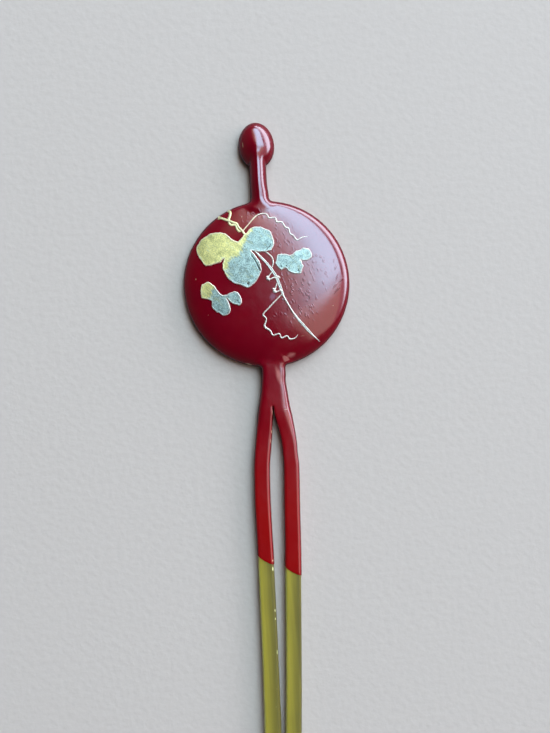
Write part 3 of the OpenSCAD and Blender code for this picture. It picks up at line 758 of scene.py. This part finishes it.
leaf_left_rows = [
    (-12.07, -0.28, 1), (-11.95, -1.2, 1), (-11.78, -1.67, 0), (-10.84, -2.02, 1), (-10.18, -2.34, 1),
    (-10.15, -3.0, 1), (-9.96, -3.73, 1), (-9.5, -4.25, 1), (-8.88, -4.59, 1), (-8.42, -5.17, 0),
    (-7.3, -4.94, 1), (-6.87, -4.3, 1), (-6.87, -3.5, 1), (-7.02, -2.8, 1), (-7.34, -2.1, 0),
    (-6.6, -2.85, 1), (-6.07, -3.19, 1), (-5.08, -3.4, 1), (-4.69, -2.47, 1), (-5.0, -1.5, 1),
    (-5.72, -0.88, 1), (-6.5, -1.0, 1), (-7.4, -1.36, 1), (-8.15, -1.42, 1), (-8.98, -0.32, 1),
    (-9.7, 0.6, 1), (-10.56, 1.17, 1), (-11.65, 0.74, 1),
]
leaf_right_rows = [
    (1.96, 4.05, 1), (2.05, 3.4, 1), (2.26, 2.8, 1), (2.87, 2.3, 0), (3.3, 2.5, 1), (3.73, 2.56, 1),
    (4.27, 2.0, 1), (5.15, 1.55, 1), (6.24, 1.41, 0), (6.6, 2.1, 1), (6.92, 2.78, 0), (6.55, 3.91, 0),
    (7.0, 3.72, 1), (7.51, 3.71, 1), (8.32, 4.1, 1), (8.57, 4.93, 1), (8.18, 5.73, 1), (7.16, 6.07, 1),
    (6.1, 5.69, 1), (5.3, 5.3, 1), (4.63, 5.02, 1), (4.1, 5.15, 1), (3.61, 5.29, 1), (2.7, 5.26, 1),
    (2.2, 4.8, 1),
]

# Where gold turns into silver: the silver lies on the left of each line's run
gold_line_large = [
    (-0.9, 11.2), (-2.4, 9.1), (-3.33, 7.87), (-4.23, 6.26), (-4.81, 5.39), (-5.87, 5.08), (-6.59, 4.1),
    (-7.0, 2.83), (-6.4, -0.6),
]
gold_line_left = [(-8.6, 1.2), (-9.77, -0.46), (-10.15, -1.21), (-10.5, -2.8)]
gold_line_right = [(1.0, 8.0), (1.0, -2.0)]

# A fold is a line of points and a half width. A pit is a middle and a half width.
fold_low = ([(-2.40, 5.47), (-1.88, 4.66), (-1.49, 3.85), (-1.22, 3.05), (-0.98, 2.52)], 0.17)
fold_high = ([(0.44, 6.28), (0.85, 6.60), (1.28, 7.08)], 0.07)
pits_large = [((-3.37, 0.30), 0.22), ((-3.2, 0.45), 0.16), ((-2.29, 5.21), 0.13)]
pits_left = [((-5.46, -2.60), 0.19)]
pits_right = [((2.86, 3.01), 0.16), ((5.90, 2.08), 0.16), ((3.76, 3.01), 0.11)]

# Where the camera stands over the pin's widest level
eye = np.array([0.44, -14.96])
eye_high = 155.0


def laid(seen):
    """Where points read in the picture at the pin's widest level lie on its domed face."""
    return eye + (seen - eye) * (1 - rise(seen[:, 0], seen[:, 1]) / eye_high)[:, None]


def face_z(spots):
    """Height of the lacquer's face on the head."""
    return rim_z + rise(spots[:, 0], spots[:, 1])


def smooth_curve(rows, steps, closed):
    """A smooth curve through rows of points. In a closed one the third number is 0 at a corner."""
    rows = np.array(rows, float)
    n = len(rows)

    def row(i):
        return rows[i % n] if closed else rows[min(max(i, 0), n - 1)]

    curve = []
    for i in range(n if closed else n - 1):
        a, b = row(i), row(i + 1)
        slope_a, slope_b = (b - row(i - 1)) / 2, (row(i + 2) - a) / 2
        if closed:
            slope_a, slope_b = slope_a * a[2], slope_b * b[2]
        curve += [hermite(a, slope_a, b, slope_b, s / steps) for s in range(steps)]
    return np.array(curve if closed else curve + [rows[-1]])


def line_distance(points, line, closed=False):
    """Distance of each point from a line of points, and how far along it the nearest place is."""
    starts = np.array(line)
    ends = np.roll(starts, -1, axis=0)
    if not closed:
        starts, ends = starts[:-1], ends[:-1]
    spans = ends - starts
    off = points[:, None] - starts
    share = np.clip((off * spans).sum(2) / np.maximum((spans**2).sum(1), 1e-12), 0, 1)
    gaps = np.linalg.norm(off - share[:, :, None] * spans, axis=2)
    nearest = gaps.argmin(1)
    pick = np.arange(len(points))
    return gaps[pick, nearest], (nearest + share[pick, nearest]) / len(starts)


def beside(points, line):
    """Signed distance of each point from a line, above 0 on the left of its run."""
    starts, ends = np.array(line[:-1]), np.array(line[1:])
    gap, at = line_distance(points, line)
    i = np.minimum((at * len(starts)).astype(int), len(starts) - 1)
    span, off = ends[i] - starts[i], points - starts[i]
    return gap * np.sign(span[:, 0] * off[:, 1] - span[:, 1] * off[:, 0])


def folded(points, folds):
    """How deep each point lies in a fold, from 0 to 1. A fold widens along its line."""
    deep = np.zeros(len(points))
    for line, width in folds:
        gap, at = line_distance(points, line)
        deep = np.maximum(deep, 1 - ramp(gap, fold_floor * width * (0.3 + at), width * (0.5 + 0.7 * at)))
    return deep


def pitted(points, pits):
    """How deep each point lies in a pit, from 0 to 1. A pit is a little longer than wide."""
    deep = np.zeros(len(points))
    for middle, size in pits:
        gap = np.linalg.norm((points - middle) * (1.0, 0.8), axis=1)
        deep = np.maximum(deep, 1 - ramp(gap, pit_floor * size, size))
    return deep


def left_of(steps):
    """Arrows of length 1 to the left of each step."""
    return np.stack([-steps[:, 1], steps[:, 0]], axis=1) / np.linalg.norm(steps, axis=1)[:, None]


def waves(points, per_mm, layer=0):
    """Smooth noise at each point, the same at every run."""
    return np.array([noise.noise(Vector((*p, layer)) * per_mm) for p in points])


def leaf_edge(rows):
    """A leaf's outline with the waviness of a hand-drawn edge, and the way inward at each of its points."""
    outline = smooth_curve(rows, edge_points, closed=True)[:, :2]
    wavy = waves(outline, wide_per_mm) + 0.5 * waves(outline, fine_per_mm, layer=4)
    inward = left_of(np.roll(outline, -1, axis=0) - np.roll(outline, 1, axis=0))
    return outline + inward * wavy[:, None] * notch_l, inward


def fold_points(folds, pits):
    """Points beside each fold and round each pit, so that the faces there are small."""
    points = []
    for line, width in folds:
        route = smooth_curve([(x, y, 1) for x, y in line], line_steps, closed=False)[:, :2]
        side = left_of(np.gradient(route, axis=0))
        points += [route + side * d * width for d in fold_steps]
    turn = np.linspace(0, 2 * np.pi, 13)[:-1]
    ring = np.stack([np.cos(turn), np.sin(turn)], axis=1)
    for middle, size in pits:
        points += [np.array(middle) + ring * size * d for d in pit_steps]
    return points


def leaf_faces(outline, inward, folds, pits):
    """A leaf's flat shape as points and faces, fine along its edge, its folds and its pits."""
    near = [outline + inward * d for d in edge_steps]
    low, high = outline.min(0), outline.max(0)
    grid = []
    for j, y in enumerate(np.arange(low[1], high[1], grid_step)):
        grid += [(x + (j % 2) * grid_step / 2, y) for x in np.arange(low[0], high[0], grid_step)]
    inner = np.concatenate(near + fold_points(folds, pits) + [np.array(grid)])
    gap = line_distance(inner, outline, closed=True)[0]
    # Points that lie too near another stretch of the edge are left out
    keep = [np.full(len(outline), 0.9 * d) for d in edge_steps]
    keep.append(np.full(len(inner) - len(near) * len(outline), 3 * grid_step))
    flat = np.concatenate([outline, inner[gap > np.concatenate(keep)]])
    ring = list(range(len(outline)))
    found = delaunay_2d_cdt([Vector(p) for p in flat], [], [ring], 1, 1e-5)
    return np.array([tuple(p) for p in found[0]]), [list(f) for f in found[2]]


def leaf(name, node, rows, gold_line, folds, pits):
    outline, inward = leaf_edge(rows)
    flat, faces = leaf_faces(outline, inward, folds, pits)
    gap = line_distance(flat, outline, closed=True)[0]
    deep = np.maximum(folded(flat, folds), pitted(flat, pits))
    height = relief_t * np.sqrt(np.clip(1 - (1 - np.clip(gap / edge_l, 0, 1)) ** 2, 0, 1))
    height += bead_t * np.exp(-(((gap - bead_l) / bead_w) ** 2)) * ramp(gap, 0, bead_from)
    height *= 1 - pit_depth * deep
    height += wave_t * waves(flat, wave_per_mm) * ramp(gap, 0, wave_from)
    lies = laid(flat)
    ground = face_z(lies)
    top = np.column_stack([lies, ground + height])
    under = np.column_stack([lies, ground - sunk])
    n = len(flat)
    edges = {}
    for face in faces:
        for i, a in enumerate(face):
            edges[(a, face[(i + 1) % len(face)])] = True
    walls = [[b, a, a + n, b + n] for a, b in edges if (b, a) not in edges]
    below = [[p + n for p in reversed(face)] for face in faces]
    piece = make_piece(name, np.concatenate([top, under]), faces + below + walls, node, dust)
    silver = ramp(beside(flat, gold_line), *gold_to_silver)
    rub = np.exp(-((gap / rub_l) ** 2))
    for mask, values in (("silver", silver), ("rubbed", rub), ("pit", deep)):
        set_mask(piece, mask, np.concatenate([values, values]))


dust, tree, shader, place = new_material("metal dust")
gold = (0.88, 0.80, 0.29, 1)
gold_shade = (0.40, 0.38, 0.13, 1)
silver = (0.44, 0.58, 0.49, 1)
silver_shade = (0.12, 0.18, 0.16, 1)
rubbed_cream = (0.90, 0.74, 0.60, 1)
pit_dark = (0.035, 0.03, 0.028, 1)
grain = noise_of(tree, place, 5.5, 4.0, 0.7)
cloud = noise_of(tree, place, 1.1, 3.0)
swept = noise_of(tree, stretched(tree, turned(tree, place, 0.9), (0.5, 3.2, 1.0)), 1.0, 3.0)
uneven = sum_of(tree, times(tree, cloud, 0.4), times(tree, swept, 0.6))
uneven = remapped(tree, uneven, 0.3, 0.7, -0.45, 0.45)
silvered = remapped(tree, sum_of(tree, mask_of(tree, "silver"), uneven), 0.1, 0.9)
speckle = remapped(tree, sum_of(tree, times(tree, grain, 0.7), times(tree, cloud, 0.3)), 0.38, 0.62)
gold_dust = mixed(tree, speckle, gold_shade, gold)
silver_dust = mixed(tree, speckle, silver_shade, silver)
colour = mixed(tree, silvered, gold_dust, silver_dust)
colour = mixed(tree, times(tree, mask_of(tree, "rubbed"), 0.75), colour, rubbed_cream)
colour = mixed(tree, times(tree, mask_of(tree, "pit"), 0.9), colour, pit_dark)
tree.links.new(colour, shader.inputs["Base Color"])
grain_t, cloud_t = 0.03, 0.01
bumped(tree, shader, sum_of(tree, times(tree, grain, grain_t), times(tree, cloud, cloud_t)))
tree.links.new(remapped(tree, grain, 0.3, 0.7, 0.42, 0.6), shader.inputs["Roughness"])
tree.links.new(remapped(tree, mask_of(tree, "pit"), 0.0, 0.5, 0.55, 0.0), shader.inputs["Metallic"])

folds_large = [fold_low, fold_high]
leaf("gold_leaf", "leaf_large", leaf_large_rows, gold_line_large, folds_large, pits_large)
leaf("left_leaf", "leaf_left", leaf_left_rows, gold_line_left, [], pits_left)
leaf("right_leaf", "leaf_right", leaf_right_rows, gold_line_right, [], pits_right)

# Raised stems and tendrils
# Lines of lacquer drawn with a fine brush and dusted while wet. The main stem is two lines side by side
# with dust between them, and two short strands of gold are wound round each other at the top left.

# Each row is x, y and half the line's width
vine_rows = [
    (-1.85, 6.25, 0.09), (-1.34, 5.75, 0.14), (-0.7, 5.0, 0.20), (0.3, 3.8, 0.22), (1.1, 2.6, 0.25),
    (1.8, 1.3, 0.26), (2.2, 0.1, 0.27), (2.6, -1.2, 0.25), (2.9, -2.3, 0.17), (3.7, -4.0, 0.14),
    (4.7, -5.9, 0.18), (6.0, -7.7, 0.22), (7.4, -9.5, 0.20), (8.9, -11.1, 0.03),
]
sprig_high_rows = [
    (1.1, 2.1, 0.10), (0.5, 1.4, 0.15), (0.3, 1.0, 0.27), (0.8, 0.9, 0.14), (1.6, 1.1, 0.15),
    (2.6, 0.9, 0.05),
]
sprig_low_rows = [
    (1.9, 0.0, 0.10), (1.6, -0.7, 0.14), (1.3, -1.3, 0.27), (1.7, -1.5, 0.14), (2.7, -1.2, 0.08),
]
# Thicker dabs where the brush stopped
dabs = [
    [(0.05, 1.35, 0.10), (0.30, 1.25, 0.24), (0.60, 1.15, 0.10)],
    [(0.35, 1.15, 0.10), (0.52, 0.80, 0.17), (0.62, 0.55, 0.05)],
    [(1.75, 1.35, 0.12), (2.10, 1.20, 0.22), (2.55, 1.02, 0.10)],
    [(1.05, -0.85, 0.10), (1.28, -1.0, 0.22), (1.5, -1.12, 0.10)],
    [(1.30, -1.25, 0.12), (1.48, -1.45, 0.23), (1.62, -1.7, 0.08)],
    [(2.25, -1.05, 0.12), (2.48, -1.28, 0.23), (2.7, -1.5, 0.12)],
]
loop_rows = [(0.2, 5.85, 0.08), (0.7, 5.5, 0.12), (1.3, 4.8, 0.13), (1.5, 3.9, 0.13), (1.25, 3.0, 0.08)]
upper_rows = [
    (-3.55, 9.95, 0.10), (-2.3, 11.2, 0.11), (-0.9, 12.5, 0.12), (0.4, 12.8, 0.12), (1.0, 12.5, 0.12),
    (1.4, 11.9, 0.15), (2.4, 11.9, 0.12), (2.7, 11.1, 0.16), (3.6, 11.0, 0.12), (4.1, 10.1, 0.15),
    (4.7, 9.8, 0.12), (4.9, 8.9, 0.14), (5.5, 8.4, 0.12), (6.1, 7.6, 0.12), (7.1, 8.0, 0.10),
    (8.2, 8.1, 0.03),
]
lower_rows = [
    (2.75, -1.9, 0.08), (1.4, -3.1, 0.14), (0.1, -4.3, 0.14), (-1.0, -5.4, 0.16), (-0.5, -6.3, 0.12),
    (-0.9, -7.6, 0.19), (0.0, -8.4, 0.16), (0.5, -9.3, 0.13), (1.6, -9.1, 0.14), (2.0, -9.9, 0.13),
    (3.0, -9.6, 0.14), (3.5, -10.2, 0.13), (4.4, -10.1, 0.11), (5.0, -9.5, 0.02),
]
strand_low_rows = [
    (-7.87, 12.6, 0.32), (-7.24, 12.45, 0.23), (-6.44, 12.09, 0.21), (-5.9, 11.9, 0.22), (-5.2, 11.54, 0.21),
    (-4.58, 11.27, 0.22), (-4.3, 10.66, 0.20), (-3.75, 10.0, 0.20), (-3.26, 9.2, 0.17), (-2.95, 8.63, 0.06),
]
strand_high_rows = [
    (-5.95, 13.75, 0.27), (-5.6, 13.4, 0.23), (-5.72, 12.8, 0.22), (-5.98, 12.15, 0.21), (-5.94, 11.5, 0.21),
    (-5.6, 11.12, 0.21), (-5.04, 11.17, 0.21), (-4.72, 10.87, 0.21), (-4.6, 10.31, 0.21), (-4.2, 9.9, 0.21),
    (-3.74, 10.15, 0.08),
]
line_t = 0.15
full_w = 0.12  # a thinner line is lower too
groove_from, groove_to, groove_w = 0.17, 0.24, 0.45
groove_dull = 0.85  # how much less the dust is rubbed in a groove
hand_wobble, wobble_per_mm = 0.22, 2.4
crown = 0.8
line_section = np.radians(np.linspace(0, 180, 11))


def raised_line(rows, groove, lift):
    """Points, faces and edge mask of one drawn line, grooved along its middle if it is a double one."""
    route = smooth_curve(rows, line_steps, closed=False)
    side = -left_of(np.gradient(route[:, :2], axis=0))
    shake = [noise.noise(Vector((x * wobble_per_mm, y * wobble_per_mm, 5))) for x, y, _ in route]
    across, up = np.cos(line_section), np.sin(line_section) ** crown
    points, rubbed = [], []
    n = len(line_section)
    for (x, y, width), out, shaken in zip(route, side, shake):
        flat = laid(np.array([x, y]) + np.outer(across * width * (1 + hand_wobble * shaken), out))
        body = min(1.0, width / full_w)
        dip = groove * ramp(width, groove_from, groove_to) * np.exp(-((across / groove_w) ** 2))
        height = (line_t * body + lift) * up * (1 - dip)
        points.append(np.column_stack([flat, face_z(flat) - sunk + height]))
        rubbed.append(1 - groove_dull * dip / groove if groove else np.ones(n))
    rings = loops(0, len(points), n)
    faces = [rings[0][::-1]] + skins(rings) + [rings[-1]]
    return np.concatenate(points), faces, np.concatenate(rubbed)


def drawn_lines(name, node, slot, lines, turns=None, rubbed_share=0.8):
    """One piece from drawn lines, silver or gold by its slot, or gold that turns to silver in a stretch."""
    points, faces, rubbed = [], [], []
    start = 0
    for rows, groove, lift in lines:
        line_points, line_faces, line_rubbed = raised_line(rows, groove, lift)
        points.append(line_points)
        faces += [[i + start for i in face] for face in line_faces]
        rubbed.append(line_rubbed)
        start += len(line_points)
    points = np.concatenate(points)
    piece = make_piece(name, points, faces, node, dust)
    all_one = np.full(len(points), 1.0 if slot == "silver_dust" else 0.0)
    set_mask(piece, "silver", ramp(points[:, 0], *turns) if turns else all_one)
    set_mask(piece, "rubbed", np.concatenate(rubbed) * rubbed_share)
    set_mask(piece, "pit", np.zeros(len(points)))


# Each line of a piece is its rows, how deep its groove is and how much higher it lies
stem_lines = [(vine_rows, 0.6, 0.0), (sprig_high_rows, 0.0, 0.01), (sprig_low_rows, 0.0, 0.01)]
stem_lines += [(dab, 0.0, 0.02) for dab in dabs]
strand_lines = [(strand_low_rows, 0.0, 0.04), (strand_high_rows, 0.0, 0.0)]
drawn_lines("main_stem", "vine", "silver_dust", stem_lines)
drawn_lines("leaf_loop", "vine_loop", "silver_dust", [(loop_rows, 0.0, 0.0)])
drawn_lines("upper_tendril", "tendril_upper", "silver_dust", [(upper_rows, 0.0, 0.0)], turns=(-2.2, 0.8))
drawn_lines("lower_tendril", "tendril_lower", "silver_dust", [(lower_rows, 0.0, 0.0)])
drawn_lines("twisted_strands", "tendril_twisted", "gold_dust", strand_lines, rubbed_share=0.35)

# Table and light
# The pin lies on a plain pale table. A wide roof window to the upper right, in two panes with a bar between
# them, gives the soft light. Dimmer walls stand to the right of the pin and above it.

floor_size = 4.0
floor_mesh = bpy.data.meshes.new("table")
corners = [(x * floor_size, y * floor_size, 0) for x, y in ((-1, -1), (1, -1), (1, 1), (-1, 1))]
floor_mesh.from_pydata(corners, [], [(0, 1, 2, 3)])
table = placed("table", floor_mesh)

paper, tree, shader, place = new_material("pale paper")
paper_low = (0.46, 0.38, 0.31, 1)
paper_high = (0.50, 0.42, 0.34, 1)
paper_reflected_shade = (0.02, 0.02, 0.02, 1)  # the table is dim where the lacquer mirrors it
tooth_t = 0.15
tooth = noise_of(tree, place, 0.9, 4.0)
colour = mixed(tree, tooth, paper_low, paper_high)
# Painted shade: in the lacquer's reflections the paper is painted nearly black, so the pin's steep edges
# mirror dark shade instead of the pale table.
mirrored = add(tree, "LightPath").outputs["Is Glossy Ray"]
colour = mixed(tree, times(tree, mirrored, 0.85), colour, paper_reflected_shade)
tree.links.new(colour, shader.inputs["Base Color"])
bumped(tree, shader, times(tree, tooth, tooth_t), 0.4)
shader.inputs["Roughness"].default_value = 0.9
floor_mesh.materials.append(paper)

# Edges are given for each metre of height above the table: across from, across to, up from, up to.
# Then come the two fades, across and up: from, to, and how much they slant with the other way.
# The last two are radiance and colour.
roof_high = 1.5
pane_step = 0.02  # each pane hangs higher than the one before, so that none lies in another
roof_turn = math.radians(12)
panes = {
    "near_pane": ((-0.02, 1.19, -0.25, 3.0), (-0.02, 0.50, 0), (-0.25, 0.04, -0.04), 9.1, (0.50, 0.75, 1.0)),
    "far_pane": ((1.45, 9.00, -1.30, 9.0), (1.40, 2.30, 0.1), (-1.30, -0.80, 0), 8.4, (0.78, 0.82, 1.0)),
    "right_wall": ((0.00, 1.00, -1.20, -0.08), (-0.02, 0.06, 0.5), (-0.55, -0.45, 0.43), 1.75,
                   (1.0, 0.70, 0.62)),
    "wall_end": ((1.00, 2.20, -1.50, -0.08), (2.60, 0.90, 0), (-0.55, -0.45, 0.43), 1.10, (1.0, 0.56, 0.66)),
    "upper_wall": ((-0.35, 0.30, 0.35, 3.0), (-0.35, 0.05, 0), (0.35, 0.80, 0), 1.20, (1.0, 0.70, 0.56)),
    "warm_edge": ((0.02, 0.30, -0.15, 1.0), (0.02, 0.10, 0), (-0.15, 0.10, 0), 1.00, (1.0, 0.50, 0.20)),
}


def faded(tree, along_it, across_it, fade, high):
    """Share of a pane's light that is left towards one of its edges."""
    start, end, slant = fade
    return remapped(tree, sum_of(tree, along_it, times(tree, across_it, slant)), start * high, end * high)


for i, (name, pane) in enumerate(panes.items()):
    (x_from, x_to, y_from, y_to), fade_x, fade_y, radiance, tint = pane
    high = roof_high + pane_step * i
    light = bpy.data.lights.new(name, "AREA")
    light.shape = "RECTANGLE"
    light.size = (x_to - x_from) * high
    light.size_y = (y_to - y_from) * high
    light.energy = radiance * math.pi * light.size * light.size_y
    light.color = tint
    light.use_nodes = True
    tree = light.node_tree
    spot = turned(tree, add(tree, "NewGeometry").outputs["Position"], -roof_turn)
    x, y, _ = add(tree, "SeparateXYZ", {"Vector": spot}).outputs
    share = times(tree, faded(tree, x, y, fade_x, high), faded(tree, y, x, fade_y, high))
    tree.links.new(share, tree.nodes["Emission"].inputs["Strength"])
    lamp = placed(name, light)
    middle = Vector(((x_from + x_to) / 2, (y_from + y_to) / 2, 1)) * high
    lamp.location = Matrix.Rotation(roof_turn, 3, "Z") @ middle
    lamp.rotation_euler = (0, 0, roof_turn)

world = bpy.data.worlds.new("room")
bpy.context.scene.world = world
world.use_nodes = True
tree = world.node_tree
tree.nodes.clear()
up = add(tree, "SeparateXYZ", {"Vector": add(tree, "TexCoord").outputs["Generated"]}).outputs["Z"]
dusk = remapped(tree, up, 0.25, 0.9, 0.07, 0.005)
room = add(tree, "Background", {"Color": (0.95, 0.95, 1.0, 1), "Strength": dusk})
tree.links.new(room.outputs[0], add(tree, "OutputWorld").inputs["Surface"])

# Camera
# Straight above, turned and placed so that the head lies where it does in the picture.

picture_w, picture_h = 550, 733
head_px = (266.54, 284.2)
head_radius_px = 82.9
lean = math.radians(4.2)

mm_per_px = head_r / head_radius_px
right = (picture_w / 2 - head_px[0]) * mm_per_px
above = (head_px[1] - picture_h / 2) * mm_per_px
camera_data = bpy.data.cameras.new("camera")
camera_data.sensor_fit = "VERTICAL"
camera_data.angle = 2 * math.atan(picture_h / 2 * mm_per_px / eye_high)
camera_data.clip_start = 0.01
camera = placed("camera", camera_data)
camera.location = (
    (right * math.cos(lean) + above * math.sin(lean)) * MM,
    (-right * math.sin(lean) + above * math.cos(lean)) * MM,
    (rim_z + eye_high) * MM,
)
camera.rotation_euler = (0, 0, -lean)
bpy.context.scene.camera = camera
bpy.context.scene.view_settings.view_transform = "Standard"
